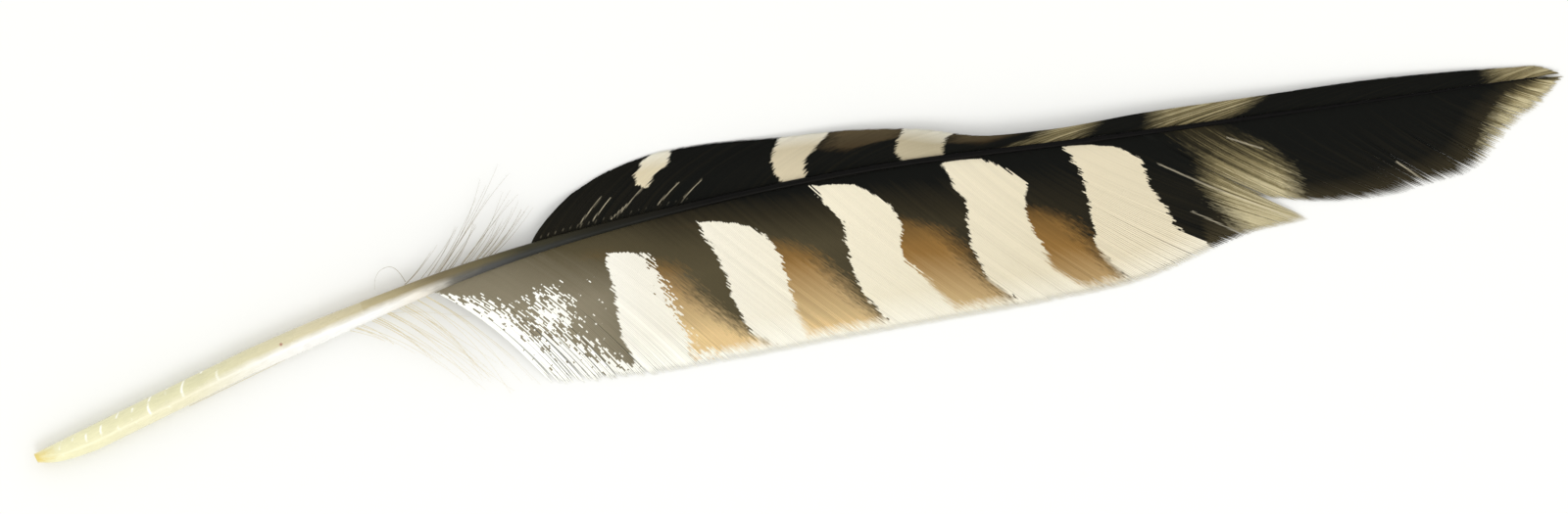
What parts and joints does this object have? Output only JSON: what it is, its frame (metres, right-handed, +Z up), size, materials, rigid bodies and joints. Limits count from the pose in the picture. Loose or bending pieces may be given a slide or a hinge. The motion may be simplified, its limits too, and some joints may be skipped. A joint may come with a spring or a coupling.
{
  "type": "feather quill pen",
  "caption": "Whole feather kept as a quill pen: hollow round barrel, arched tapering shaft, broad barred inner web, narrow outer web, loose down.",
  "frame": {"origin": "on the surface the feather lies on, under the middle of its bounding box", "axes": "+X along the round barrel towards the feather's tip, +Y towards the narrow outer web, +Z up from the hollow side to the convex side"},
  "size_m": [0.2352, 0.0676, 0.0041],
  "materials": {
    "barrel_horn": "translucent horn",
    "dry_membrane": "dull",
    "shaft_horn": "gloss",
    "pith": "foamy",
    "down": "matte",
    "inner_barbs": "satin",
    "outer_barbs": "satin"
  },
  "bodies": {
    "root": {"calamus_wall": "barrel_horn", "inner_down": "down", "inner_web_1": "inner_barbs", "inner_web_2": "inner_barbs", "inner_web_3": "inner_barbs", "inner_web_4": "inner_barbs", "inner_web_5": "inner_barbs", "inner_web_6": "inner_barbs", "inner_web_7": "inner_barbs", "inner_web_8": "inner_barbs", "inner_web_9": "inner_barbs", "outer_down": "down", "outer_web_1": "outer_barbs", "outer_web_2": "outer_barbs", "outer_web_3": "outer_barbs", "outer_web_4": "outer_barbs", "outer_web_5": "outer_barbs", "outer_web_6": "outer_barbs", "outer_web_7": "outer_barbs", "outer_web_8": "outer_barbs", "outer_web_9": "outer_barbs", "pulp_caps": "dry_membrane", "rachis_cortex": "shaft_horn", "rachis_pith": "pith"}
  },
  "joints": []
}
